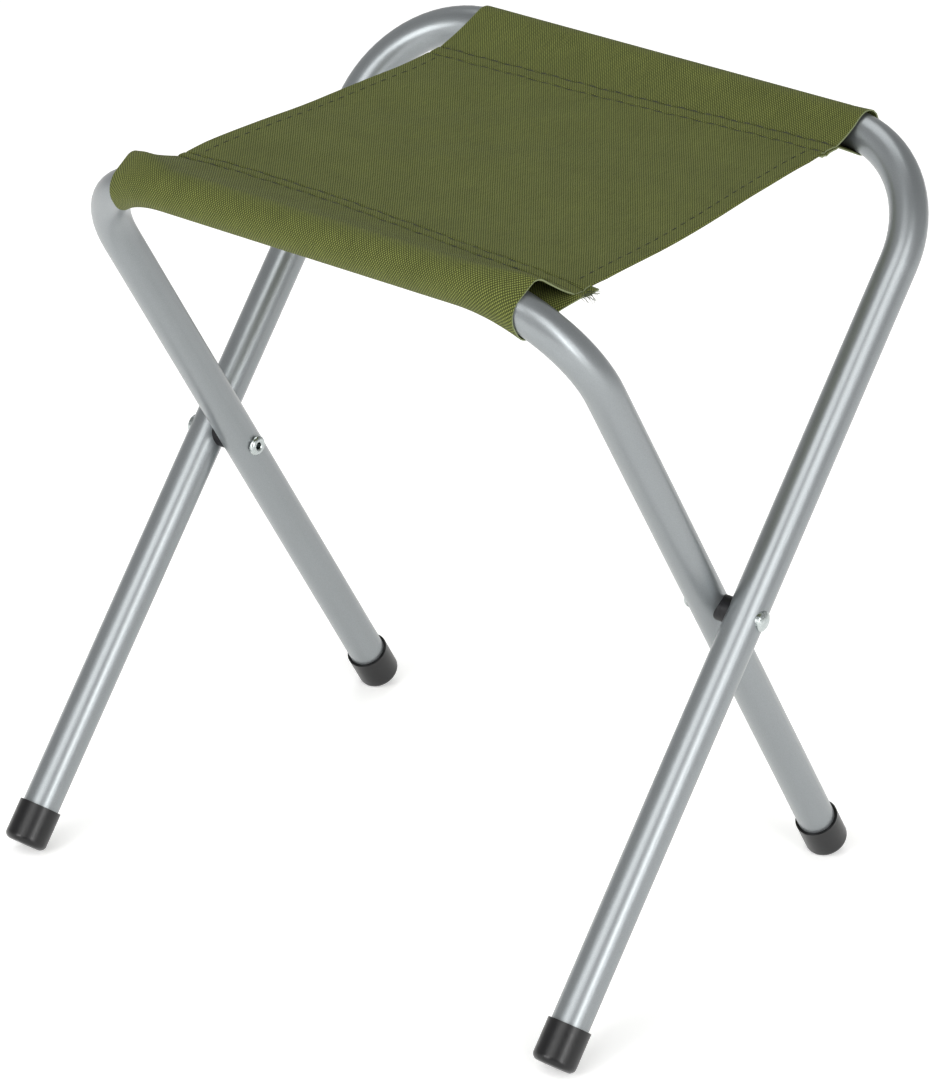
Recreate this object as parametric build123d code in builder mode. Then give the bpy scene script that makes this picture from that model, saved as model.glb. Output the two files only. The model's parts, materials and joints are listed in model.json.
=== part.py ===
from build123d import *
import os
from math import asin, cos, radians, sin, sqrt

# Folding camp stool: two steel tube frames, one nested inside the other, cross at a pair of
# rivets and a woven seat hangs between their top rails. Millimetres, +Z up, floor at Z = 0,
# the inner frame's rail at -X and the outer frame's rail at +X.

# ---- tube frames ----
tube_diameter = 19.0
tube_wall = 1.2
bend_radius = 58.5          # centre line of the tube at the two top corners
inner_lean = 31.4           # degrees from vertical with the stool open
outer_lean = 40.05
inner_half_width = 146.8    # middle of the stool to a leg's axis
outer_half_width = 168.7
inner_rail_reach = 221.8    # pivot to the rail's axis, along the leg
outer_rail_reach = 243.4
inner_foot_reach = 209.4    # pivot to the end of the foot cap, along the leg

# ---- foot caps ----
cap_radius = 11.0
cap_length = 21.0
cap_floor = 3.0             # rubber under the tube's end
cap_round = 3.4

# ---- pivots ----
rivet_radius = 3.0
turning_clearance = 0.05    # between the rivet and what turns on it
rivet_head_radius = 5.1
rivet_head_height = 2.3
head_rim = 0.5              # straight edge of the head over the crest
head_skirt = 2.0            # the head reaches this far down over the tube's crest
rivet_bore = 1.9            # the rivet's formed end is hollow
rivet_bore_depth = 6.0
rivet_rim = 0.6             # height of the formed end's rounded rim past its bore's mouth
washer_radius = 6.6
washer_seat = 3.0           # how near a washer reaches to its leg's axis, past the tube's crest
crest_clearance = 0.15      # formed rivet end to the round tube it turns against
saddle_length = 40.0        # stretch of tube that shapes the head and the washers

# ---- seat cloth ----
cloth = 0.8
panel_drop = 5.3            # seat panel under the axis of the inner rail
sleeve_bore = 9.9           # radius inside the sleeve, round the tube
sleeve_half_length = 122.0
bend_clearance = 0.6        # extra room where the sleeve's end lies on the bend
front_half_width = 127.0    # the panel narrows towards the rear
rear_half_width = 119.0
front_seam = 40.0           # inner rail's axis to the seam that closes the sleeve
rear_seam = 26.0            # outer rail's axis to the same seam at the rear
front_row_pitch = 7.0       # between the two rows of stitches
rear_row_pitch = 9.5
seam_allowance = 5.0        # under layer past the second row
seam_lead = 2.0             # sleeve's point to the first row
seam_tip = 1.0              # the sleeve's rounded tip starts this far outside the seam
tip_bore = 0.2              # radius inside the sleeve at its tip
panel_overlap = 0.3         # the panel reaches this far into the sleeve's tip
row_inset = 2.0             # rows stop this far from an edge or from another row
hem_width = 11.0
hem_row_inset = 8.0
fold_line = 3.3             # where the seat creases when the stool folds
fold_gap = 0.2              # the hem rows stop this far from the fold line
thread_width = 0.7
thread_depth = 0.35         # stitches sink into the cloth, flush with its top

# ---- worked out from the sizes above ----
tube_radius = tube_diameter / 2


def foot_drop(reach, lean):
    """Pivot height over the floor for a rounded cap that ends at this reach along a leaning leg."""
    core = cap_radius - cap_round
    return (reach - cap_round) * cos(radians(lean)) + core * sin(radians(lean)) + cap_round


pivot_z = foot_drop(inner_foot_reach, inner_lean)
cap_core = cap_radius - cap_round
outer_sin = sin(radians(outer_lean))
outer_cos = cos(radians(outer_lean))
outer_foot_reach = (pivot_z - cap_round - cap_core * outer_sin) / outer_cos + cap_round
foot_side = (outer_foot_reach - cap_round) * outer_sin + cap_core * outer_cos + cap_round
rail_side = outer_rail_reach * outer_sin + sleeve_bore + cloth
pivot_x = (foot_side - rail_side) / 2

inner_rail = Vector(pivot_x - inner_rail_reach * sin(radians(inner_lean)), 0,
                    pivot_z + inner_rail_reach * cos(radians(inner_lean)))
outer_rail = Vector(pivot_x + outer_rail_reach * outer_sin, 0,
                    pivot_z + outer_rail_reach * outer_cos)
panel_z = inner_rail.Z - panel_drop
washer_plane = (inner_half_width + outer_half_width) / 2
front_seam_x = inner_rail.X + front_seam
rear_seam_x = outer_rail.X - rear_seam


def leg_plane(lean, side):
    """Plane of one frame: X along +Y, Y up the leg, origin between the pivots."""
    up = Vector(side * sin(radians(lean)), 0, cos(radians(lean)))
    return Plane(origin=(pivot_x, 0, pivot_z), x_dir=(0, 1, 0), z_dir=Vector(0, 1, 0).cross(up))


inner_plane = leg_plane(inner_lean, -1)
outer_plane = leg_plane(outer_lean, 1)

os.makedirs("parts", exist_ok=True)

# ---- bent tube frames: one length of tube each, with rivet holes across both legs ----
turning_radius = rivet_radius + turning_clearance
bar_length = 2 * (outer_half_width + tube_diameter)
for name, plane, half_width, rail_reach, foot_reach, hole in (
    ("outer", outer_plane, outer_half_width, outer_rail_reach, outer_foot_reach, rivet_radius),
    ("inner", inner_plane, inner_half_width, inner_rail_reach, inner_foot_reach, turning_radius),
):
    tube_end = cap_floor - foot_reach
    with BuildPart() as frame_tube:
        with BuildLine(plane) as centre_line:
            FilletPolyline(
                (-half_width, tube_end),
                (-half_width, rail_reach),
                (half_width, rail_reach),
                (half_width, tube_end),
                radius=bend_radius,
            )
        with BuildSketch(Plane(origin=centre_line.line @ 0, z_dir=centre_line.line % 0)):
            Circle(tube_radius)
            Circle(tube_radius - tube_wall, mode=Mode.SUBTRACT)
        sweep(path=centre_line.line)
        with Locations((pivot_x, 0, pivot_z)):
            Cylinder(hole, bar_length, rotation=(90, 0, 0), mode=Mode.SUBTRACT)
    frame_tube.part.label = f"{name}_frame_tube"
    export_step(frame_tube.part, f"parts/{frame_tube.part.label}.step")

# ---- rubber caps pushed over the four tube ends ----
for frame_name, plane, half_width, foot_reach in (
    ("outer", outer_plane, outer_half_width, outer_foot_reach),
    ("inner", inner_plane, inner_half_width, inner_foot_reach),
):
    for side_name, side in (("left", 1), ("right", -1)):
        foot_end = plane.from_local_coords(Vector(side * half_width, -foot_reach, 0))
        with BuildPart() as foot_cap:
            with BuildSketch(Plane(origin=foot_end, x_dir=(0, 1, 0), z_dir=plane.y_dir)):
                Circle(cap_radius)
            extrude(amount=cap_length)
            foot_edge = foot_cap.edges().filter_by(GeomType.CIRCLE).sort_by(Axis.Z)[0]
            fillet(foot_edge, radius=cap_round)
            tube_seat = foot_end + plane.y_dir * cap_floor
            with BuildSketch(Plane(origin=tube_seat, x_dir=(0, 1, 0), z_dir=plane.y_dir)):
                Circle(tube_radius)
            extrude(amount=cap_length, mode=Mode.SUBTRACT)
        foot_cap.part.label = f"foot_cap_{frame_name}_{side_name}"
        export_step(foot_cap.part, f"parts/{foot_cap.part.label}.step")

# ---- pivots: on each side a rivet and two washers shaped to the round tubes ----
outer_crest = outer_half_width + tube_radius
formed_face = inner_half_width - tube_radius - crest_clearance
dome_rise = rivet_head_height - head_rim
dome_radius = (rivet_head_radius**2 + dome_rise**2) / (2 * dome_rise)
dome_angle = asin(rivet_head_radius / dome_radius)
formed_end = formed_face - rivet_head_height
shank_top = outer_crest + head_rim / 2
mid_dome = outer_crest + rivet_head_height - dome_radius * (1 - cos(dome_angle / 2))
section = Plane(origin=(pivot_x, 0, pivot_z))
rivet_axis = Axis((pivot_x, 0, pivot_z), (0, 1, 0))


def across_leg(plane, leg_y):
    """Plane square to a leg, half a saddle's length below the pivot, to cut a piece to the round tube."""
    origin = plane.from_local_coords(Vector(leg_y, -saddle_length / 2, 0))
    return Plane(origin=origin, x_dir=(0, 1, 0), z_dir=plane.y_dir)


for side_name, side in (("left", 1), ("right", -1)):
    with BuildPart() as rivet:
        with BuildSketch(section):
            with BuildLine():
                dome = ThreePointArc(
                    (rivet_head_radius, side * (outer_crest + head_rim)),
                    (dome_radius * sin(dome_angle / 2), side * mid_dome),
                    (0, side * (outer_crest + rivet_head_height)),
                )
                Polyline(
                    dome @ 1,
                    (0, side * (outer_crest - head_skirt)),
                    (rivet_head_radius, side * (outer_crest - head_skirt)),
                    dome @ 0,
                )
            make_face()
        revolve(axis=rivet_axis)
        # The head beds down on the round tube.
        with BuildSketch(across_leg(outer_plane, side * outer_half_width)):
            Circle(tube_radius)
        extrude(amount=saddle_length, mode=Mode.SUBTRACT)
        with BuildSketch(Plane.XZ.offset(-side * shank_top)):
            with Locations((pivot_x, pivot_z)):
                Circle(rivet_radius)
        extrude(amount=side * (shank_top - formed_face))
        with BuildSketch(section):
            with BuildLine():
                Polyline(
                    (rivet_head_radius, side * formed_face),
                    (0, side * formed_face),
                    (0, side * (formed_end + rivet_rim)),
                    (rivet_bore, side * (formed_end + rivet_rim)),
                )
                ThreePointArc(
                    (rivet_bore, side * (formed_end + rivet_rim)),
                    ((rivet_bore + rivet_head_radius) / 2, side * formed_end),
                    (rivet_head_radius, side * formed_face),
                )
            make_face()
        revolve(axis=rivet_axis)
        with BuildSketch(Plane.XZ.offset(-side * formed_end)):
            with Locations((pivot_x, pivot_z)):
                Circle(rivet_bore)
        extrude(amount=-side * rivet_bore_depth, mode=Mode.SUBTRACT)
    rivet.part.label = f"pivot_rivet_{side_name}"
    export_step(rivet.part, f"parts/{rivet.part.label}.step")

    for frame_name, plane, half_width, hole, outwards in (
        ("outer", outer_plane, outer_half_width, rivet_radius, 1),
        ("inner", inner_plane, inner_half_width, turning_radius, -1),
    ):
        flat_face = side * (washer_plane + outwards * turning_clearance)
        thickness = abs(half_width - washer_plane) - turning_clearance - washer_seat
        with BuildPart() as washer:
            with BuildSketch(Plane.XZ.offset(-flat_face)):
                with Locations((pivot_x, pivot_z)):
                    Circle(washer_radius)
                    Circle(hole, mode=Mode.SUBTRACT)
            extrude(amount=-side * outwards * thickness)
            with BuildSketch(across_leg(plane, side * half_width)):
                Circle(tube_radius)
            extrude(amount=saddle_length, mode=Mode.SUBTRACT)
        washer.part.label = f"saddle_washer_{frame_name}_{side_name}"
        export_step(washer.part, f"parts/{washer.part.label}.step")

# ---- seat cloth: one panel, sewn into a sleeve round each rail, creased at the fold line ----
side_slope = (front_half_width - rear_half_width) / (rear_seam_x - front_seam_x)


def corner_drop(half_width):
    """How far the tube has curved down, with its slanted section, where the sleeve ends on the bend."""
    past_bend = sleeve_half_length - (half_width - bend_radius)
    slant = sqrt(1 - (past_bend / bend_radius) ** 2)
    return bend_radius * (1 - slant) + tube_radius * (1 / slant - 1) + bend_clearance


def panel_half_width(x):
    """Half the panel's width at this distance along X."""
    return front_half_width - side_slope * (x - front_seam_x)


for name, rail, plane, half_width, seam_x, towards_fold, row_pitch in (
    ("rear", outer_rail, outer_plane, outer_half_width, rear_seam_x, -1, rear_row_pitch),
    ("front", inner_rail, inner_plane, inner_half_width, front_seam_x, 1, front_row_pitch),
):
    dropped = rail - plane.y_dir * corner_drop(half_width)
    tip_x = seam_x - towards_fold * seam_tip
    panel_start = seam_x - towards_fold * panel_overlap
    first_row = seam_x + towards_fold * seam_lead
    second_row = first_row + towards_fold * row_pitch
    under_edge = second_row + towards_fold * seam_allowance
    with BuildPart() as half_seat:
        # The sleeve hangs round the rail and its bends and closes to a point at the seam.
        for skin, mode in ((cloth, Mode.ADD), (0, Mode.SUBTRACT)):
            with BuildSketch(Plane.XZ.offset(-sleeve_half_length)):
                with Locations((rail.X, rail.Z), (dropped.X, dropped.Z)):
                    Circle(sleeve_bore + skin)
                with Locations((tip_x, panel_z)):
                    Circle(tip_bore + skin)
                make_hull()
            extrude(amount=2 * sleeve_half_length, mode=mode)
        with BuildSketch(Plane.XY.offset(panel_z - cloth / 2)):
            with BuildLine():
                Polyline(
                    (panel_start, panel_half_width(panel_start)),
                    (fold_line, panel_half_width(fold_line)),
                    (fold_line, -panel_half_width(fold_line)),
                    (panel_start, -panel_half_width(panel_start)),
                    close=True,
                )
            make_face()
        extrude(amount=cloth)
        # Under layer of the seam, and the two side hems turned under.
        with BuildSketch(Plane.XY.offset(panel_z - cloth / 2)):
            with BuildLine():
                Polyline(
                    (seam_x, panel_half_width(seam_x)),
                    (under_edge, panel_half_width(under_edge)),
                    (under_edge, -panel_half_width(under_edge)),
                    (seam_x, -panel_half_width(seam_x)),
                    close=True,
                )
            make_face()
            for side in (1, -1):
                with BuildLine():
                    Polyline(
                        (seam_x, side * panel_half_width(seam_x)),
                        (fold_line, side * panel_half_width(fold_line)),
                        (fold_line, side * (panel_half_width(fold_line) - hem_width)),
                        (seam_x, side * (panel_half_width(seam_x) - hem_width)),
                        close=True,
                    )
                make_face()
        extrude(amount=-cloth)
        # Grooves for the stitches: two rows along the seam, one along each hem.
        row_start = second_row + towards_fold * row_inset
        row_end = fold_line - towards_fold * fold_gap
        with BuildSketch(Plane.XY.offset(panel_z + cloth / 2)) as seam_rows:
            for row in (first_row, second_row):
                with Locations((row, 0)):
                    Rectangle(thread_width, 2 * (panel_half_width(row) - row_inset))
        extrude(amount=-thread_depth, mode=Mode.SUBTRACT)
        hem_rows = []
        for side in (1, -1):
            with BuildSketch(Plane.XY.offset(panel_z + cloth / 2)) as hem_row:
                with BuildLine():
                    Polyline(
                        (row_start, side * (panel_half_width(row_start) - hem_row_inset)),
                        (row_end, side * (panel_half_width(row_end) - hem_row_inset)),
                        (row_end, side * (panel_half_width(row_end) - hem_row_inset - thread_width)),
                        (row_start, side * (panel_half_width(row_start) - hem_row_inset - thread_width)),
                        close=True,
                    )
                make_face()
            extrude(amount=-thread_depth, mode=Mode.SUBTRACT)
            hem_rows.append(hem_row.sketch)
    half_seat.part.label = f"seat_cloth_{name}"
    export_step(half_seat.part, f"parts/{half_seat.part.label}.step")

    # Sewing thread, sunk into those grooves.
    for thread_name, rows in (
        (f"seam_thread_{name}", seam_rows.sketch),
        (f"hem_thread_{name}_left", hem_rows[0]),
        (f"hem_thread_{name}_right", hem_rows[1]),
    ):
        with BuildPart() as thread:
            add(rows)
            extrude(amount=-thread_depth)
        thread.part.label = thread_name
        export_step(thread.part, f"parts/{thread_name}.step")
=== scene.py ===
import json
import math

import bpy
import numpy as np
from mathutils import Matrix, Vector


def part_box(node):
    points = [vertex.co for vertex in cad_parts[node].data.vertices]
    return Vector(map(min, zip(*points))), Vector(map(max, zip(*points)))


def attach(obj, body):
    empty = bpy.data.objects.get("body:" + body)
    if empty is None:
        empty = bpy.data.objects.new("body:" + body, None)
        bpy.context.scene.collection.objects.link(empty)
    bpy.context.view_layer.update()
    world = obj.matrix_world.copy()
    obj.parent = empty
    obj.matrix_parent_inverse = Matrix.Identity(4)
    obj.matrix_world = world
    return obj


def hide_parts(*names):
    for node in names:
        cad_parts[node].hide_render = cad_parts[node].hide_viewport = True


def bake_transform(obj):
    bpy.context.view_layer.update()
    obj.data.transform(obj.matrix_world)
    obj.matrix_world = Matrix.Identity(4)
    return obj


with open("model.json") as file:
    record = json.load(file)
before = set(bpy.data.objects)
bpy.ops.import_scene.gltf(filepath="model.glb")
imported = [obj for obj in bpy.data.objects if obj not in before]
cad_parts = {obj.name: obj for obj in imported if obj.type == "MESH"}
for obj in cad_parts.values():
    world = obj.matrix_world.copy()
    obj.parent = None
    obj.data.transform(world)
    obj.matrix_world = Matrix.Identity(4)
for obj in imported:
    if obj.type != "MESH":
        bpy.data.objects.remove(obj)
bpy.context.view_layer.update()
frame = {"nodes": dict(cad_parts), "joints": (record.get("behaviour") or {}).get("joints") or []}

# ---------------------------------------------------------------------------------------------
# View: the camera stands in front of the inner frame's rail, to the stool's right, a little
# above it, with a long lens.
# ---------------------------------------------------------------------------------------------
camera_place = Vector((-1.7315, -1.3666, 1.2600))
camera_target = Vector((-0.0067, -0.0015, 0.1724))
camera_lens = 165.66
sensor_width = 36.0
view_depth = 30.0

camera_data = bpy.data.cameras.new("camera")
camera_data.lens = camera_lens
camera_data.sensor_width = sensor_width
camera_data.clip_end = view_depth
camera = bpy.data.objects.new("camera", camera_data)
camera.location = camera_place
camera.rotation_euler = (camera_target - camera_place).to_track_quat("-Z", "Y").to_euler()
bpy.context.scene.collection.objects.link(camera)
bpy.context.scene.camera = camera
bpy.context.scene.view_settings.view_transform = "Standard"

# ---------------------------------------------------------------------------------------------
# Studio: a plain pale floor, an even white surround that is brighter towards the horizon, and
# soft boxes that draw long highlights down the tubes.
# ---------------------------------------------------------------------------------------------
floor_half = 6.0
floor_colour = (0.92, 0.92, 0.91, 1.0)
floor_roughness = 0.9
floor_glow = 0.37
white = (1.0, 1.0, 1.0, 1.0)
overhead_strength = 0.22
horizon_strength = 0.52
stool_middle = (0.0, 0.0, 0.22)


def new_finish(name):
    """New material, with its node tree and its shader."""
    finish = bpy.data.materials.new(name)
    finish.use_nodes = True
    return finish, finish.node_tree, finish.node_tree.nodes["Principled BSDF"]


def soft_box(name, place, width, height, watts):
    """Rectangular lamp at place, facing the middle of the stool."""
    lamp = bpy.data.lights.new(name, "AREA")
    lamp.shape = "RECTANGLE"
    lamp.size = width
    lamp.size_y = height
    lamp.energy = watts
    holder = bpy.data.objects.new(name, lamp)
    holder.location = place
    facing = Vector(stool_middle) - Vector(place)
    holder.rotation_euler = facing.to_track_quat("-Z", "Y").to_euler()
    bpy.context.scene.collection.objects.link(holder)


floor_mesh = bpy.data.meshes.new("floor")
floor_mesh.from_pydata(
    [(-floor_half, -floor_half, 0), (floor_half, -floor_half, 0),
     (floor_half, floor_half, 0), (-floor_half, floor_half, 0)], [], [(0, 1, 2, 3)])
floor = bpy.data.objects.new("floor", floor_mesh)
bpy.context.scene.collection.objects.link(floor)
floor_paper, _, shader = new_finish("floor_paper")
shader.inputs["Base Color"].default_value = floor_colour
shader.inputs["Roughness"].default_value = floor_roughness
shader.inputs["Emission Color"].default_value = white
shader.inputs["Emission Strength"].default_value = floor_glow
floor_mesh.materials.append(floor_paper)

surround = bpy.data.worlds.new("surround")
surround.use_nodes = True
sky = surround.node_tree
height_in_sky = sky.nodes.new("ShaderNodeSeparateXYZ")
sky.links.new(sky.nodes.new("ShaderNodeTexCoord").outputs["Generated"], height_in_sky.inputs[0])
fade = sky.nodes.new("ShaderNodeMapRange")
fade.interpolation_type = "SMOOTHSTEP"
fade.inputs["To Min"].default_value = horizon_strength
fade.inputs["To Max"].default_value = overhead_strength
sky.links.new(height_in_sky.outputs[2], fade.inputs["Value"])
sky.nodes["Background"].inputs["Color"].default_value = white
sky.links.new(fade.outputs[0], sky.nodes["Background"].inputs["Strength"])
bpy.context.scene.world = surround

# Each box: its place, width, height and watts.
soft_box("front_box", (-2.6, 0.5, 1.1), 1.3, 1.3, 31)
soft_box("high_box", (-1.75, -0.35, 2.1), 1.5, 1.2, 20)
soft_box("corner_box", (-1.0, -2.2, 2.1), 1.3, 1.3, 18)
soft_box("right_strip", (-1.10, -2.48, 0.80), 0.28, 1.3, 19)
soft_box("right_strip_far", (-0.40, -2.7, 0.75), 0.07, 1.3, 6)
soft_box("top_box", (0.6, 0.6, 2.5), 1.6, 1.6, 17)

# ---------------------------------------------------------------------------------------------
# Seat cloth: one cut of olive oxford cloth, heavier yarns across than along. It runs under and
# round the rear rail, over to the front rail and back under it, and its two ends are sewn to
# the panel, so each rail lies in a sleeve. The sides of the panel are turned under and sewn.
# ---------------------------------------------------------------------------------------------
cloth_thickness = 0.0007
layer_gap = 0.0009          # middle of the panel to the middle of the layer sewn under it
sleeve_radius = 0.0101      # middle of the cloth round the tube
tube_radius = 0.0095
bend_radius = 0.0585        # of the tube's own line at its bends
rail_cover = 0.0107         # rail's axis to the outside of its sleeve
seam_lead = 0.0016          # sleeve's closing line to the outer row of stitches
under_lap = 0.0135          # the sewn-under end reaches this far past the closing line
hem_width = 0.011
full_turn = 2 * np.pi

joints = {joint["name"]: joint for joint in frame["joints"]}
pivot = np.array(joints["fold"]["pos_m"])
rear_rail = np.array(joints["seat_rear_turn"]["pos_m"])
crease = np.array(joints["seat_crease"]["pos_m"])
front_low, front_high = (np.array(corner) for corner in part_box("seat_cloth_front"))
front_rail = np.array([front_low[0] + rail_cover, 0.0, front_high[2] - rail_cover])
panel_level = crease[2] - 0.006         # the crease's axis is above the panel
inner_bend_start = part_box("inner_frame_tube")[1][1] - tube_radius - bend_radius
outer_bend_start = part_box("outer_frame_tube")[1][1] - tube_radius - bend_radius

# Across the seat, right to left, the rows of stitches drift, since the cloth sits askew.
row_y = np.array([-0.135, -0.095, -0.060, -0.015, 0.030, 0.080, 0.122])
front_row_x = np.array([-0.0918, -0.0865, -0.0840, -0.0800, -0.0767, -0.0758, -0.0785])
rear_row_x = np.array([0.1280, 0.1268, 0.1245, 0.1205, 0.1182, 0.1162, 0.1154])
front_row_pitch = 0.0070    # from the front seam's outer row to its inner one
rear_row_pitch = 0.0085
stitch_pitch = 0.0074
second_row_shift = 2.1      # radians that a seam's inner row of stitches is out of step


def smooth_curve(at, knots, values):
    """Smooth curve through a few points that never overshoots them: a cubic between each pair,
    with slopes that are the harmonic mean of the two neighbouring chords."""
    chords = np.diff(values) / np.diff(knots)
    both = chords[:-1] * chords[1:]
    inner = np.where(both > 0, 2 * both / np.where(both > 0, chords[:-1] + chords[1:], 1), 0)
    slopes = np.concatenate([chords[:1], inner, chords[-1:]])
    at = np.clip(at, knots[0], knots[-1])
    i = np.clip(np.searchsorted(knots, at) - 1, 0, len(knots) - 2)
    h = knots[i + 1] - knots[i]
    t = (at - knots[i]) / h
    return ((2 * t**3 - 3 * t**2 + 1) * values[i] + (t**3 - 2 * t**2 + t) * h * slopes[i]
            + (3 * t**2 - 2 * t**3) * values[i + 1] + (t**3 - t**2) * h * slopes[i + 1])


def bell(value, middle, reach):
    """Falls off both ways from 1 at the middle: e to the power of minus the square of the
    distance over the reach."""
    return np.exp(-((value - middle) / reach) ** 2)


def front_row(y):
    """X of the front seam's outer row of stitches."""
    return smooth_curve(y, row_y, front_row_x)


def rear_row(y):
    """X of the rear seam's outer row of stitches."""
    return smooth_curve(y, row_y, rear_row_x)


def seam_rows():
    """Each seam's row of stitches with the distance of its two rows and their shifts."""
    for row, pitch in ((front_row, front_row_pitch), (rear_row, -rear_row_pitch)):
        yield row, 0.0, 0.0
        yield row, pitch, second_row_shift


panel_lift = 0.0004         # middle of the taut cloth above the panel's level
sag_depth = 0.0012
end_lift, end_reach = 0.0011, 0.06      # rise at both ends, and its reach as a share of the panel
groove_depth, groove_half = 0.00080, 0.0009
pucker_height, pucker_length, pucker_reach = 0.00024, 0.0031, 0.005
corner_dip = 0.0016         # at the front right corner
corner_place, corner_reach = (-0.092, -0.130), (0.012, 0.010)
wide_wave, wide_slant, wide_length, wide_phase = 0.0005, 0.35, 0.018, 1.1

# Waves beside the middle: height, slant, length over a full turn, phase, wobble and the wobble's
# length, then the middle and reach of the wave in y and as shares of the way along the panel.
side_waves = [
    (0.00055, 0.8, 0.0125, 0.0, 2.5, 0.06, 0.035, 0.06, 0.62, 0.30),
    (0.00045, -0.5, 0.0105, 0.7, 0.0, 0.06, -0.05, 0.05, 0.30, 0.22)]


def panel_height(x, y):
    """Z of the middle of the panel: level with a slight sag, a groove where each row pulls the
    cloth down with small puckers beside it, and faint slanting waves of the stretched cloth."""
    along = (x - front_row(y)) / (rear_row(y) - front_row(y))
    arch = 4 * along * (1 - along)
    ends = (np.exp(-np.clip(along, 0, None) / end_reach)
            + np.exp(-np.clip(1 - along, 0, None) / end_reach))
    z = panel_level + panel_lift - sag_depth * np.clip(arch, 0, 1) + end_lift * ends
    for row, offset, shift in seam_rows():
        away = np.abs(x - row(y) - offset)
        beat = 0.75 + 0.25 * np.cos(full_turn * y / stitch_pitch + shift)
        z = z + pucker_height * np.sin(y / pucker_length + shift) * np.exp(-away / pucker_reach)
        z = z - groove_depth * beat * bell(away, 0, groove_half)
    for size, slant, length, phase, wobble, bend, middle, reach, part, share in side_waves:
        swing = np.sin((slant * x + y) / length + phase + wobble * np.sin(x / bend))
        z = z + size * swing * bell(y, middle, reach) * bell(along, part, share)
    swing = np.sin((x + wide_slant * y) / wide_length + wide_phase)
    z = z + wide_wave * swing * np.clip(arch, 0, 1)
    return z - (corner_dip * bell(x, corner_place[0], corner_reach[0])
                * bell(y, corner_place[1], corner_reach[1]))


line_steps, arc_steps = 16, 16
closing_dip = 0.0007        # between the closing line and the top of the sleeve
tube_clearance = 0.00002    # keeps the tube's lower edge apart from its upper one


def touching_normal(from_p, from_z, from_r, to_p, to_z, to_r, turn):
    """Angle of the common outward normal of the line that touches two discs on one side."""
    d_p, d_z = from_p - to_p, from_z - to_z
    apart = np.hypot(d_p, d_z)
    lean = np.arccos(np.clip((to_r - from_r) / apart, -1, 1))
    return np.arctan2(d_z, d_p) + turn * lean


def arc(p, z, r, start, end, steps):
    """Circle of radius r about (p, z), from one angle to another: out is the cosine, up the
    sine. Gives out and up for each step and each place across."""
    turn = start + (end - start) * np.linspace(0, 1, steps)[:, None]
    return np.stack([p + r * np.cos(turn), z + r * np.sin(turn)])


def straight(start, end, dip=0.0):
    """Line between two points that may hang by half a sine below the chord."""
    t = np.linspace(0, 1, line_steps)[:, None]
    line = start[:, None] + (end - start)[:, None] * t
    line[1] -= dip * np.sin(np.pi * t)
    return line


def sleeve_loop(side, rail, bend_start, y, seam_x, apex):
    """Profile of a sleeve at each y, from the closing line over the top, round the tube and back
    below: the outline of a taut string round the closing line, the raised top of the cloth, the
    tube, and the tube's lower edge where it has curved down. Distances from the middle of the
    stool grow outwards. Returns outward distance and height, one row for each place."""
    lean = np.arctan2(abs(rail[0] - pivot[0]), rail[2] - pivot[2])
    past = np.clip(np.abs(y) - bend_start, 0, None)
    level = np.sqrt(1 - (past / bend_radius) ** 2)
    drop = bend_radius * (1 - level)
    spread = tube_radius * (1 / level - 1)
    out = side * rail[0]
    upper_p = out - np.sin(lean) * (drop - spread)
    upper_z = rail[2] - np.cos(lean) * (drop - spread)
    lower_p = out - np.sin(lean) * (drop + spread + tube_clearance)
    lower_z = rail[2] - np.cos(lean) * (drop + spread + tube_clearance)
    apex_p, apex_z, apex_r = apex
    seam_p = side * seam_x
    seam_r = layer_gap / 2
    seam_z = panel_height(seam_x, y) - seam_r
    first = touching_normal(seam_p, seam_z, seam_r, apex_p, apex_z, apex_r, -1) % full_turn
    second = touching_normal(apex_p, apex_z, apex_r, upper_p, upper_z, sleeve_radius, -1)
    third = touching_normal(upper_p, upper_z, sleeve_radius, lower_p, lower_z, sleeve_radius, -1)
    last = touching_normal(seam_p, seam_z, seam_r, lower_p, lower_z, sleeve_radius, 1)
    last = last % full_turn - full_turn
    over_top = arc(apex_p, apex_z, apex_r, first, second, arc_steps // 2)
    round_tube = arc(upper_p, upper_z, sleeve_radius, second, third, arc_steps)
    below_tube = arc(lower_p, lower_z, sleeve_radius, third, last, arc_steps)
    closing = arc(seam_p, seam_z, seam_r, first, last, 2)
    upwards = straight(closing[:, 0], over_top[:, 0], closing_dip)[:, :-1]
    back = straight(below_tube[:, -1], closing[:, 1])[:, 1:]
    return np.concatenate([upwards, over_top, round_tube, below_tube, back], axis=1)


edge_steps = np.array([0.0, 0.0014, 0.0035, 0.007])      # finer at the cut edges
across = np.concatenate([edge_steps, np.linspace(0.012, 0.988, 146), 1 - edge_steps[::-1]])
columns = len(across)

# Top of each sleeve from the right end to the left one: the cloth keeps its own shape there
# while the tube curves down out of it. Rows are y, distance out, height, and radius.
front_apex = np.array([
    [-0.1216, -0.112, -0.100, -0.088, 0.086, 0.098, 0.109, 0.119],
    [0.1105, 0.1135, 0.1180, 0.1210, 0.1210, 0.1185, 0.1150, 0.1110],
    [0.3750, 0.3745, 0.3732, 0.3726, 0.3726, 0.3738, 0.3748, 0.3739],
    [0.0046, 0.0070, 0.0090, 0.0101, 0.0101, 0.0099, 0.0090, 0.0072]])
rear_apex = np.array([
    [-0.1235, -0.112, 0.100, 0.113],
    [0.1508, 0.1510, 0.1510, 0.1508],
    [0.3700, 0.36955, 0.36955, 0.3695],
    [0.0103, 0.0101, 0.0101, 0.0102]])

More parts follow.
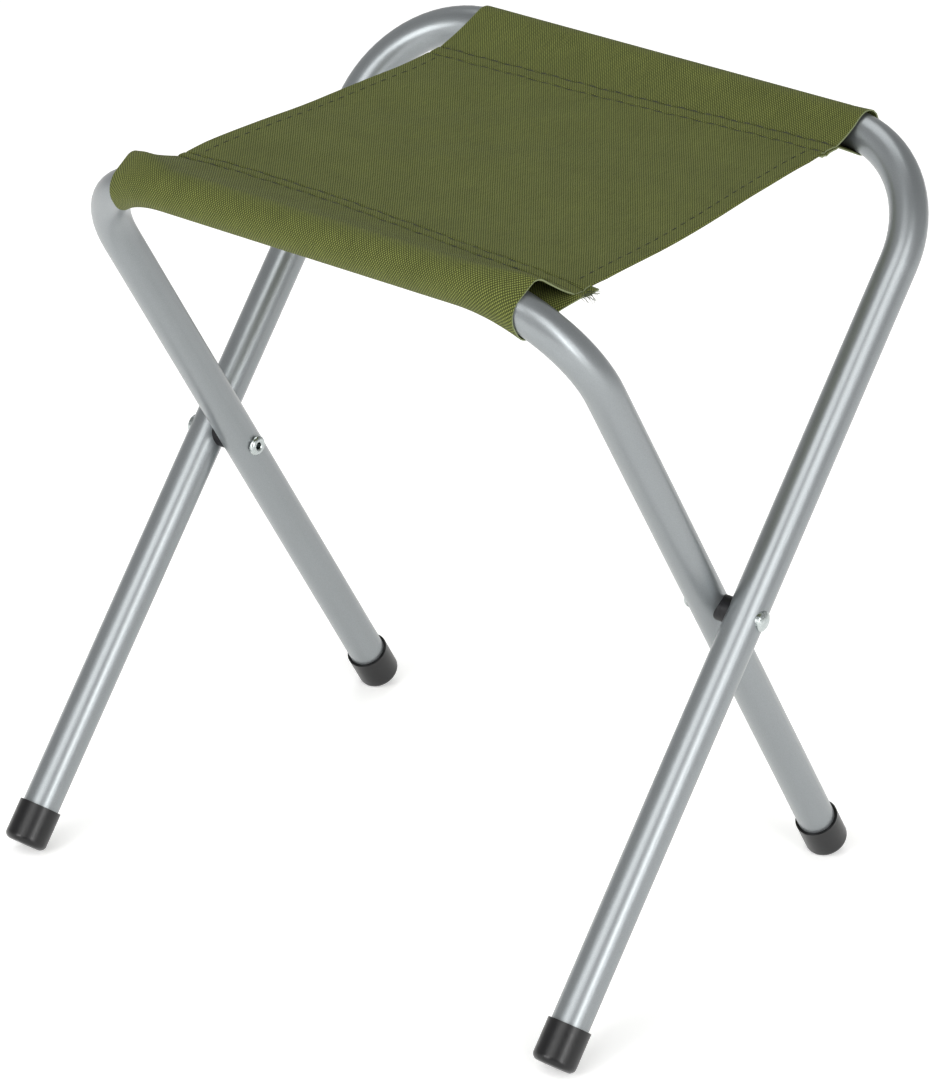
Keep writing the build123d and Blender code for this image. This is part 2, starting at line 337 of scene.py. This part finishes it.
# Right and left edges of the cloth: y at even stages, over each sleeve from its closing line on
# top round to the one below, and over the panel from the rear to the front.
front_right = np.array(
    [-0.1292, -0.1272, -0.1238, -0.1220, -0.1216, -0.1216, -0.1218, -0.1250, -0.1330])
front_left = np.array([0.1195, 0.1193, 0.1190, 0.1190, 0.1190, 0.1190, 0.1189, 0.1186, 0.1180])
rear_right = np.array([-0.1210, -0.1225, -0.1232, -0.1235, -0.1232, -0.1225, -0.1215])
rear_left = np.array([0.1135, 0.1133, 0.1131, 0.1130, 0.1130, 0.1130, 0.1130])
panel_right = np.array([-0.1210, -0.1190, -0.1210, -0.1235, -0.1251, -0.1268, -0.1277, -0.1292])
panel_left = np.array([0.1135, 0.1136, 0.1158, 0.1184, 0.1200, 0.1214, 0.1226, 0.1195])


def side_to_side(way, right, left):
    """Y across the seat, from the right edge to the left one, for each share of the way along
    the edges."""
    stage = way * (len(right) - 1)
    right_y = smooth_curve(stage, np.arange(len(right)), right)
    left_y = smooth_curve(stage, np.arange(len(left)), left)
    return right_y + (left_y - right_y) * across


def sleeve_patch(side, rail, bend_start, row, apex, right, left):
    """One sleeve as arrays of x, y and z, from the closing line on top round to the one below."""
    y_rail = right[len(right) // 2] + (left[len(left) // 2] - right[len(right) // 2]) * across
    seam_x = row(y_rail) + side * seam_lead
    tops = [smooth_curve(y_rail, apex[0], values) for values in apex[1:]]
    p, z = sleeve_loop(side, rail, bend_start, y_rail, seam_x, tops)
    return side * p, side_to_side(np.linspace(0, 1, len(p))[:, None], right, left), z


front_patch = sleeve_patch(
    -1, front_rail, inner_bend_start, front_row, front_apex, front_right, front_left)
rear_patch = sleeve_patch(
    1, rear_rail, outer_bend_start, rear_row, rear_apex, rear_right, rear_left)

# The panel between the closing lines, from the rear to the front, finer beside the seams.
seam_zone = 0.0135
seam_steps, middle_steps = 30, 68
settle_rate = 160           # how soon the panel leaves the height of the closing lines
rear_closing = rear_patch[0][0]
front_closing = front_patch[0][0]
near = np.linspace(0, seam_zone, seam_steps)[:, None]
far = np.linspace(0, 1, middle_steps)[1:-1, None]
rear_zone = rear_closing - near
front_zone = front_closing + near[::-1]
middle_zone = rear_zone[-1] + (front_zone[0] - rear_zone[-1]) * far
panel_x = np.concatenate([rear_zone, middle_zone, front_zone])
toward_front = ((panel_x - rear_closing) / (front_closing - rear_closing)).mean(axis=1)[:, None]
panel_y = side_to_side(toward_front, panel_right, panel_left)
panel_z = panel_height(panel_x, panel_y)
panel_z += ((rear_patch[2][0] - panel_z[0]) * np.exp(-toward_front * settle_rate)
            + (front_patch[2][0] - panel_z[-1]) * np.exp(-(1 - toward_front) * settle_rate))

lap_rows, lap_settle = 8, 6


def under_patch(patch, side):
    """The end of the cloth, sewn flat under the panel, from its cut edge to the closing line."""
    x_end, y_end, z_end = (values[-1] for values in patch)
    steps = np.linspace(1, 0, lap_rows)[:, None]
    x = x_end - side * under_lap * steps
    y = y_end + np.zeros_like(steps)
    z = panel_height(x, y) - layer_gap
    z += (z_end - z[-1]) * np.exp(-steps * lap_settle)
    return x, y, z


rear_under = under_patch(rear_patch, 1)
front_under = under_patch(front_patch, -1)

# Lay the patches end to end: under, round the rear rail, across, round the front rail, under.
strips = [np.stack(patch, axis=-1) for patch in (
    rear_under, [v[::-1][1:] for v in rear_patch], (panel_x[1:], panel_y[1:], panel_z[1:]),
    [v[1:] for v in front_patch], [v[::-1][1:] for v in front_under])]
cloth_grid = np.concatenate(strips)
panel_start = len(strips[0]) + len(strips[1]) - 1
panel_end = panel_start + len(panel_x) - 1

hem_reach = 3               # rows that the hems run on into the zones beside the seams
hem_taper, hem_least = 5, 0.02
hem_turn_steps, hem_flat_steps = 4, 5


def turned_hem(edge, side):
    """The panel's side turned under: a half round at the edge, then flat below the panel. It
    narrows to almost nothing over its first and last rows."""
    row = np.arange(len(edge))
    taper = np.clip(np.minimum(row, row[::-1]) / hem_taper, hem_least, 1)[:, None]
    bulge = layer_gap / 2 * taper
    x, y, z = edge[:, 0:1], edge[:, 1:2], edge[:, 2:3]
    turn = np.linspace(0, np.pi, hem_turn_steps + 1)[1:]
    flat_y = y - side * hem_width * taper * np.linspace(0, 1, hem_flat_steps + 1)[1:]
    flat_z = panel_height(x, flat_y) - 2 * bulge + (z - panel_height(x, y))
    hem_y = np.concatenate([y + side * bulge * np.sin(turn), flat_y], axis=1)
    hem_z = np.concatenate([z - bulge * (1 - np.cos(turn)), flat_z], axis=1)
    return np.stack([np.broadcast_to(x, hem_y.shape), hem_y, hem_z], axis=-1)


hem_rows = slice(panel_start + seam_steps - hem_reach, panel_end - seam_steps + hem_reach)
right_hem = turned_hem(cloth_grid[hem_rows, 0], -1)
left_hem = turned_hem(cloth_grid[hem_rows, -1], 1)


def grid_faces(index):
    """Quads of a grid of vertex numbers."""
    corners = [index[:-1, :-1], index[:-1, 1:], index[1:, 1:], index[1:, :-1]]
    return np.stack(corners, axis=-1).reshape(-1, 4)


main_index = np.arange(cloth_grid.shape[0] * columns).reshape(-1, columns)
right_index = main_index.size + np.arange(right_hem[..., 0].size).reshape(right_hem.shape[:2])
left_index = right_index.max() + 1 + np.arange(left_hem[..., 0].size).reshape(left_hem.shape[:2])
right_index = np.concatenate([main_index[hem_rows, :1], right_index], axis=1)
left_index = np.concatenate([main_index[hem_rows, -1:], left_index], axis=1)
cloth_faces = np.concatenate(
    [grid_faces(main_index), grid_faces(right_index)[:, ::-1], grid_faces(left_index)])
cloth_points = np.concatenate(
    [cloth_grid.reshape(-1, 3), right_hem.reshape(-1, 3), left_hem.reshape(-1, 3)])

# Distance along and across the cut cloth, for the weave: along from the middle of the panel,
# where its small puckers don't count.
steps_along = np.linalg.norm(np.diff(cloth_grid, axis=0), axis=-1)
steps_along[panel_start:panel_end] = np.abs(np.diff(panel_x, axis=0))
along = np.concatenate([np.zeros((1, columns)), np.cumsum(steps_along, axis=0)])
along -= along[(panel_start + panel_end) // 2]
main_uv = np.stack([along, cloth_grid[..., 1]], axis=-1)


def hem_uv(hem, edge, edge_along):
    """Hem points carry on the cloth's own distances past the panel's edge."""
    steps = np.linalg.norm(np.diff(np.concatenate([edge[:, None], hem], axis=1), axis=1), axis=-1)
    out = edge[:, 1:2] + np.sign(edge[:, 1:2]) * np.cumsum(steps, axis=1)
    return np.stack([np.repeat(edge_along[:, None], hem.shape[1], axis=1), out], axis=-1)


right_uv = hem_uv(right_hem, cloth_grid[hem_rows, 0], along[hem_rows, 0])
left_uv = hem_uv(left_hem, cloth_grid[hem_rows, -1], along[hem_rows, -1])
point_uv = np.concatenate([uv.reshape(-1, 2) for uv in (main_uv, right_uv, left_uv)])

# Cut edges, where the yarns' pale ends show. The turned hems have none.
cut = np.zeros(cloth_grid.shape[:2])
cut[:, [0, -1]] = 1
cut[[0, -1]] = 1
cut[hem_rows, 0] = cut[hem_rows, -1] = 0

# Painted shade in the grooves of the two seams, on the panel's rows only.
on_panel = np.zeros(cloth_grid.shape[:2])
on_panel[panel_start:panel_end + 1] = 1
groove = np.zeros(cloth_grid.shape[:2])
for row, offset, shift in seam_rows():
    away = cloth_grid[..., 0] - row(cloth_grid[..., 1]) - offset
    beat = 0.65 + 0.35 * np.cos(full_turn * cloth_grid[..., 1] / stitch_pitch + shift)
    groove = np.maximum(groove, beat * bell(away, 0, groove_half) * on_panel)


def surface(name, points, faces):
    """New smooth object at the origin with its place in its mesh."""
    mesh = bpy.data.meshes.new(name)
    mesh.from_pydata(np.asarray(points).tolist(), [], [list(face) for face in faces])
    mesh.polygons.foreach_set("use_smooth", np.full(len(mesh.polygons), True))
    piece = bpy.data.objects.new(name, mesh)
    bpy.context.scene.collection.objects.link(piece)
    return piece


def weave_map(piece, uv):
    """Writes each point's distances along and across the cloth as the piece's map, in metres."""
    mesh = piece.data
    corners = np.empty(len(mesh.loops), dtype=np.int64)
    mesh.loops.foreach_get("vertex_index", corners)
    layer = mesh.uv_layers.new(name="weave")
    layer.data.foreach_set("uv", uv[corners].astype(np.float32).ravel())


def cloth_share(piece, name, grid_values):
    """Writes a share for each point of the cloth's grid as an attribute, 0 on the hems."""
    values = np.zeros(len(piece.data.vertices), dtype=np.float32)
    values[:grid_values.size] = grid_values.ravel()
    piece.data.attributes.new(name, "FLOAT", "POINT").data.foreach_set("value", values)


def link(tree, source, target):
    """Joins two sockets of a material."""
    tree.links.new(source, target)


def worked(tree, operation, first, second=None, third=None, clamp=False):
    """Math node of one to three inputs, each a socket or a number."""
    node = tree.nodes.new("ShaderNodeMath")
    node.operation = operation
    node.use_clamp = clamp
    for socket, value in zip(node.inputs, (first, second, third)):
        if isinstance(value, (int, float)):
            socket.default_value = value
        elif value is not None:
            link(tree, value, socket)
    return node.outputs[0]


def blended(tree, share, first, second):
    """Colour between two colours or sockets, by share."""
    node = tree.nodes.new("ShaderNodeMix")
    node.data_type = "RGBA"
    link(tree, share, node.inputs[0])
    for socket, value in ((node.inputs[6], first), (node.inputs[7], second)):
        if isinstance(value, tuple):
            socket.default_value = value
        else:
            link(tree, value, socket)
    return node.outputs[2]


def noise(tree, where, scale, detail=2.0, stretch=(1, 1, 1)):
    """Noise value on the given coordinates, stretched along an axis."""
    mapping = tree.nodes.new("ShaderNodeMapping")
    mapping.inputs["Scale"].default_value = stretch
    link(tree, where, mapping.inputs["Vector"])
    node = tree.nodes.new("ShaderNodeTexNoise")
    node.inputs["Scale"].default_value = scale
    node.inputs["Detail"].default_value = detail
    link(tree, mapping.outputs[0], node.inputs["Vector"])
    return node.outputs["Fac"]


def point_share(tree, name):
    """Value of one of the cloth's attributes."""
    node = tree.nodes.new("ShaderNodeAttribute")
    node.attribute_name = name
    return node.outputs["Fac"]


def raised(tree, shader, height, strength, distance):
    """Small relief of the given height on the shader's surface."""
    bump = tree.nodes.new("ShaderNodeBump")
    bump.inputs["Strength"].default_value = strength
    bump.inputs["Distance"].default_value = distance
    link(tree, height, bump.inputs["Height"])
    link(tree, bump.outputs[0], shader.inputs["Normal"])


yarn_along = 0.00090        # spacing of the yarns that run across the seat
yarn_across = 0.00068       # spacing of the yarns that run from rail to rail
yarn_relief = 0.00022
# The lighter top colour is a painted sheen on the yarns, and the gap colour is painted shade
# between them.
olive_sheen_top = (0.184, 0.208, 0.050, 1.0)
olive_deep = (0.040, 0.047, 0.009, 1.0)
olive_gap_shade = (0.010, 0.013, 0.003, 1.0)
cut_edge = (0.20, 0.23, 0.12, 1.0)

# Plain weave: two sines crossed, the one sign where a yarn across lies on top and the other
# where a yarn along does. The lighter colour where the one set lies on top is a painted sheen,
# and the dark gaps where either is nought are painted shade between the yarns.
oxford, tree, shader = new_finish("oxford_cloth")
cloth_uv = tree.nodes.new("ShaderNodeUVMap")
cloth_uv.uv_map = "weave"
weave_place = cloth_uv.outputs[0]
parted = tree.nodes.new("ShaderNodeSeparateXYZ")
link(tree, weave_place, parted.inputs[0])
shifted = worked(tree, "MULTIPLY", noise(tree, weave_place, scale=130, detail=1.0), 1.3)
phase_along = worked(tree, "MULTIPLY_ADD", parted.outputs[0], math.pi / yarn_along, shifted)
phase_across = worked(tree, "MULTIPLY_ADD", parted.outputs[1], math.pi / yarn_across, shifted)
crossing = worked(tree, "MULTIPLY",
                  worked(tree, "SINE", phase_along), worked(tree, "SINE", phase_across))
height = worked(tree, "POWER", worked(tree, "ABSOLUTE", crossing), 0.5)
sheen_on_top = worked(tree, "MULTIPLY_ADD", crossing, 2.4, 0.5, clamp=True)
gap_shade = worked(tree, "SUBTRACT", 1.0, worked(tree, "MULTIPLY", height, 1.35), clamp=True)
woven = blended(tree, gap_shade, blended(tree, sheen_on_top, olive_deep, olive_sheen_top), olive_gap_shade)

# Slubs and faint patches in the dye, and painted shade in the grooves of the seams, as one grey
# that dims the weave.
slubs = noise(tree, weave_place, scale=900, detail=2.0, stretch=(0.12, 1.0, 1.0))
patches = noise(tree, weave_place, scale=38, detail=3.0)
tone = worked(tree, "MULTIPLY_ADD", slubs, 0.55,
              worked(tree, "MULTIPLY_ADD", patches, 0.35, 0.55))
# Painted shade: the weave darkens along the seam grooves, where shade falls.
unshaded = worked(tree, "SUBTRACT", 1.0,
               worked(tree, "MULTIPLY", point_share(tree, "groove"), 0.55))
tone = worked(tree, "MULTIPLY", tone, unshaded)
tone_colour = tree.nodes.new("ShaderNodeCombineColor")
for channel in range(3):
    link(tree, tone, tone_colour.inputs[channel])
toned = tree.nodes.new("ShaderNodeMix")
toned.data_type = "RGBA"
toned.blend_type = "MULTIPLY"
toned.inputs[0].default_value = 1.0
link(tree, woven, toned.inputs[6])
link(tree, tone_colour.outputs[0], toned.inputs[7])
fray = worked(tree, "POWER", point_share(tree, "cut"), 1.5)
link(tree, blended(tree, fray, toned.outputs[2], cut_edge), shader.inputs["Base Color"])
yarn_height = worked(tree, "MULTIPLY_ADD", slubs, 0.35, height)
raised(tree, shader, yarn_height, strength=0.9, distance=yarn_relief)
shader.inputs["Roughness"].default_value = 0.72
shader.inputs["Sheen Weight"].default_value = 0.10
shader.inputs["Sheen Roughness"].default_value = 0.45
shader.inputs["Sheen Tint"].default_value = (0.60, 0.66, 0.30, 1.0)
shader.inputs["Specular IOR Level"].default_value = 0.18

seat = surface("seat_cloth", cloth_points, cloth_faces)
weave_map(seat, point_uv)
cloth_share(seat, "cut", cut)
# The groove attribute carries the painted shade along the seams.
cloth_share(seat, "groove", groove)
seat.data.materials.append(oxford)
thickness = seat.modifiers.new("thickness", "SOLIDIFY")
thickness.thickness = cloth_thickness
thickness.offset = 0.0
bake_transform(seat)
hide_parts("seat_cloth_rear", "seat_cloth_front")

# ---------------------------------------------------------------------------------------------
# Stitches: dark olive thread, lock-stitched in two rows along each sleeve's seam and one row
# along each hem. Each stitch is a short raised length that dives into the cloth at both ends.
# ---------------------------------------------------------------------------------------------
stitch_length = 0.0050
stitch_sink, stitch_rise = 0.00020, 0.00030     # below the cloth's face, and above that midway
seam_thread_radius = 0.00040
hem_thread_radius = 0.00028
hem_inset = 0.0075          # folded edge to the hem's row of stitches
stitch_rings, stitch_sides = 6, 6
thread_dark = (0.008, 0.010, 0.004, 1.0)
thread_light = (0.030, 0.034, 0.010, 1.0)


def tube_faces(count, rings, sides):
    """Walls, and flat faces at both ends, of count tubes of rings times sides points each."""
    index = np.arange(count * rings * sides).reshape(count, rings, sides)
    after = np.roll(index, -1, axis=2)
    walls = np.stack([index[:, :-1], after[:, :-1], after[:, 1:], index[:, 1:]], axis=-1)
    return walls.reshape(-1, 4), np.concatenate([index[:, 0, ::-1], index[:, -1]])


def stitch_row(x, y, thread_radius):
    """Tubes laid end to end along a line: each ring is a circle square to the row, its centre
    rises above the cloth by half a sine from end to end, and its radius tapers at both ends."""
    steps = np.hypot(np.diff(x), np.diff(y))
    run = np.concatenate([[0], np.cumsum(steps)])
    count = int(run[-1] / stitch_pitch)
    start = (np.arange(count) + 0.5) * run[-1] / count - stitch_length / 2
    t = np.linspace(0, 1, stitch_rings)
    place = start[:, None] + stitch_length * t
    ring_x, ring_y = np.interp(place, run, x), np.interp(place, run, y)
    way_x, way_y = np.gradient(ring_x, axis=1), np.gradient(ring_y, axis=1)
    size = np.hypot(way_x, way_y)
    way_x, way_y = way_x / size, way_y / size
    radius = thread_radius * (0.55 + 0.45 * np.sin(np.pi * t))
    top = panel_height(ring_x, ring_y) + cloth_thickness / 2
    centre_z = top - stitch_sink + stitch_rise * np.sin(np.pi * t)
    turn = np.arange(stitch_sides) * full_turn / stitch_sides
    sideways = radius[:, None] * np.cos(turn)
    upwards = radius[:, None] * np.sin(turn)
    points = np.stack([ring_x[..., None] - way_y[..., None] * sideways,
                       ring_y[..., None] + way_x[..., None] * sideways,
                       centre_z[..., None] + upwards], axis=-1)
    return points.reshape(-1, 3), *tube_faces(count, stitch_rings, stitch_sides)


def stitches(name, rows, thread_radius):
    """One piece made of several rows of stitches."""
    points, faces = [], []
    offset = 0
    for x, y in rows:
        row_points, walls, caps = stitch_row(x, y, thread_radius)
        faces += (walls + offset).tolist() + (caps + offset).tolist()
        points.append(row_points)
        offset += len(row_points)
    return surface(name, np.concatenate(points), faces)


def object_place(tree):
    """The piece's own coordinates."""
    return tree.nodes.new("ShaderNodeTexCoord").outputs["Object"]


sewing_thread, tree, shader = new_finish("sewing_thread")
twist = noise(tree, object_place(tree), scale=2600, detail=1.0)
link(tree, blended(tree, twist, thread_dark, thread_light), shader.inputs["Base Color"])
shader.inputs["Roughness"].default_value = 0.6

row_run = np.linspace(-1, 1, 160)
rear_y = row_run * 0.1155 - 0.0030
front_y = row_run * 0.1065 + 0.0110
rear_x, front_x = rear_row(rear_y), front_row(front_y)
seam_stitches_rear = stitches(
    "seam_stitches_rear", [(rear_x, rear_y), (rear_x - rear_row_pitch, rear_y)],
    seam_thread_radius)
seam_stitches_front = stitches(
    "seam_stitches_front", [(front_x, front_y), (front_x + front_row_pitch, front_y)],
    seam_thread_radius)
for piece, body, node in ((seam_stitches_rear, "seat_rear", "seam_thread_rear"),
                          (seam_stitches_front, "seat_front", "seam_thread_front")):
    piece.data.materials.append(sewing_thread)
    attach(piece, body)
    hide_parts(node)

for side_name, column, side in (("right", 0, -1), ("left", -1, 1)):
    edge = cloth_grid[hem_rows, column]
    hem_line = edge[:, 0], edge[:, 1] - side * hem_inset
    hem_stitches = stitches(f"hem_stitches_{side_name}", [hem_line], hem_thread_radius)
    hem_stitches.data.materials.append(sewing_thread)
    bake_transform(hem_stitches)
    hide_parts(f"hem_thread_rear_{side_name}", f"hem_thread_front_{side_name}")

# ---------------------------------------------------------------------------------------------
# Frayed corner: yarn fibres worked loose from the cut corner of the cloth beside the front
# rail, on the stool's right. They hold on to the front half of the cloth.
# ---------------------------------------------------------------------------------------------
fibre_count, fibre_rings, fibre_sides = 22, 9, 5
fibre_radius = 0.00023
corner_x, corner_y = -0.0870, -0.1318
root_sink = 0.0004          # roots start inside the cloth
fibre_arch = 0.0006
fibre_dark = (0.014, 0.018, 0.006, 1.0)
fibre_light = (0.080, 0.098, 0.032, 1.0)

random = np.random.default_rng(7)
root_x = corner_x + random.uniform(-0.0050, 0.0040, fibre_count)
root_y = corner_y + random.uniform(-0.0008, 0.0018, fibre_count)
reach = random.uniform(0.0025, 0.0075, fibre_count)
swing = random.uniform(-0.55, 0.75, fibre_count)
curl = random.uniform(-0.0026, 0.0026, fibre_count)
fall = random.uniform(-0.0010, 0.0024, fibre_count)

# Each fibre runs outwards from its root, swung to one side, curling and falling with the square
# of the distance. Its rings are upright circles that shrink towards the tip.
t = np.linspace(0, 1, fibre_rings)
root_z = panel_height(root_x, root_y) - root_sink
spine_x = root_x[:, None] + np.outer(reach * np.sin(swing), t) + np.outer(curl, t**2)
spine_y = root_y[:, None] - np.outer(reach * np.cos(swing), t)
spine_z = root_z[:, None] - np.outer(fall, t**2) + fibre_arch * np.sin(3 * t)
turn = np.arange(fibre_sides) * full_turn / fibre_sides
thin = fibre_radius * (1 - 0.6 * t[:, None])
fibre_points = np.stack([spine_x[..., None] + thin * np.cos(turn),
                         spine_y[..., None] + 0 * turn,
                         spine_z[..., None] + thin * np.sin(turn)], axis=-1)
walls, caps = tube_faces(fibre_count, fibre_rings, fibre_sides)
fibre_faces = walls[:, [0, 3, 2, 1]].tolist() + caps[:, ::-1].tolist()     # these rings turn back
frayed_corner = surface("frayed_corner", fibre_points.reshape(-1, 3), fibre_faces)

loose_fibre, tree, shader = new_finish("loose_fibre")
mixed_dye = noise(tree, object_place(tree), scale=700, detail=1.0)
link(tree, blended(tree, mixed_dye, fibre_dark, fibre_light), shader.inputs["Base Color"])
shader.inputs["Roughness"].default_value = 0.6
frayed_corner.data.materials.append(loose_fibre)
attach(frayed_corner, "seat_front")

# ---------------------------------------------------------------------------------------------
# Tube frames: bent steel tube under satin silver-grey paint with a fine metallic fleck and a
# faint orange peel.
# ---------------------------------------------------------------------------------------------
paint_dark = (0.190, 0.206, 0.214, 1.0)
paint_light = (0.315, 0.336, 0.345, 1.0)
peel_relief = 0.00003


def finished(finish, word):
    """Puts a finish on every CAD piece with the word in its name."""
    for name, piece in frame["nodes"].items():
        if word in name:
            piece.data.materials.clear()
            piece.data.materials.append(finish)


silver_paint, tree, shader = new_finish("silver_paint")
place = object_place(tree)
cloudy = noise(tree, place, scale=22, detail=3.0)
flecks = noise(tree, place, scale=5200, detail=0.0)
fleck_share = worked(tree, "MULTIPLY_ADD", flecks, 0.9,
                     worked(tree, "MULTIPLY", cloudy, 0.18), clamp=True)
link(tree, blended(tree, fleck_share, paint_dark, paint_light), shader.inputs["Base Color"])
link(tree, worked(tree, "MULTIPLY_ADD", cloudy, 0.10, 0.30), shader.inputs["Roughness"])
orange_peel = noise(tree, place, scale=700, detail=1.0)
raised(tree, shader, orange_peel, strength=0.25, distance=peel_relief)
shader.inputs["Metallic"].default_value = 0.72
shader.inputs["Coat Weight"].default_value = 0.25
shader.inputs["Coat Roughness"].default_value = 0.16
finished(silver_paint, "frame_tube")

# ---------------------------------------------------------------------------------------------
# Foot caps: moulded black rubber pushed over the tube ends, satin, a little scuffed at the
# bottom.
# ---------------------------------------------------------------------------------------------
rubber_black = (0.005, 0.005, 0.0055, 1.0)
rubber_scuffed = (0.030, 0.030, 0.030, 1.0)
scuff_at_floor, scuff_fade = 0.9, 140.0         # share at the floor, and its fall per metre
grain_relief = 0.00006

cap_rubber, tree, shader = new_finish("cap_rubber")
place = object_place(tree)
height_above = tree.nodes.new("ShaderNodeSeparateXYZ")
link(tree, place, height_above.inputs[0])
near_floor = worked(tree, "MULTIPLY_ADD", height_above.outputs[2], -scuff_fade, scuff_at_floor,
                    clamp=True)
mottle = noise(tree, place, scale=420, detail=3.0)
scuff = worked(tree, "MULTIPLY", near_floor, mottle)
link(tree, blended(tree, scuff, rubber_black, rubber_scuffed), shader.inputs["Base Color"])
link(tree, worked(tree, "MULTIPLY_ADD", mottle, 0.16, 0.24), shader.inputs["Roughness"])
shader.inputs["Specular IOR Level"].default_value = 0.40
moulded_grain = noise(tree, place, scale=1500, detail=2.0)
raised(tree, shader, moulded_grain, strength=0.35, distance=grain_relief)
finished(cap_rubber, "foot_cap")

# ---------------------------------------------------------------------------------------------
# Pivot rivets: zinc-plated steel, domed outside and rolled over inside, faintly marked by the
# tool that set them.
# ---------------------------------------------------------------------------------------------
zinc_dark = (0.36, 0.40, 0.40, 1.0)
zinc_light = (0.60, 0.64, 0.63, 1.0)
dent_relief = 0.0001

bright_zinc, tree, shader = new_finish("bright_zinc")
tool_marks = noise(tree, object_place(tree), scale=900, detail=3.0, stretch=(1.0, 0.2, 1.0))
link(tree, blended(tree, tool_marks, zinc_dark, zinc_light), shader.inputs["Base Color"])
link(tree, worked(tree, "MULTIPLY_ADD", tool_marks, 0.25, 0.14), shader.inputs["Roughness"])
raised(tree, shader, tool_marks, strength=0.3, distance=dent_relief)
shader.inputs["Metallic"].default_value = 1.0
finished(bright_zinc, "pivot_rivet")

# ---------------------------------------------------------------------------------------------
# Saddle washers: pairs of moulded black plastic on each rivet between the two frames, hollowed
# to the round tubes and flat where they turn on each other.
# ---------------------------------------------------------------------------------------------
plastic_black = (0.003, 0.003, 0.004, 1.0)
plastic_spark = (0.010, 0.010, 0.012, 1.0)

black_plastic, tree, shader = new_finish("black_plastic")
spark = noise(tree, object_place(tree), scale=1800, detail=2.0)
link(tree, blended(tree, spark, plastic_black, plastic_spark), shader.inputs["Base Color"])
link(tree, worked(tree, "MULTIPLY_ADD", spark, 0.2, 0.32), shader.inputs["Roughness"])
shader.inputs["Specular IOR Level"].default_value = 0.30
finished(black_plastic, "saddle_washer")
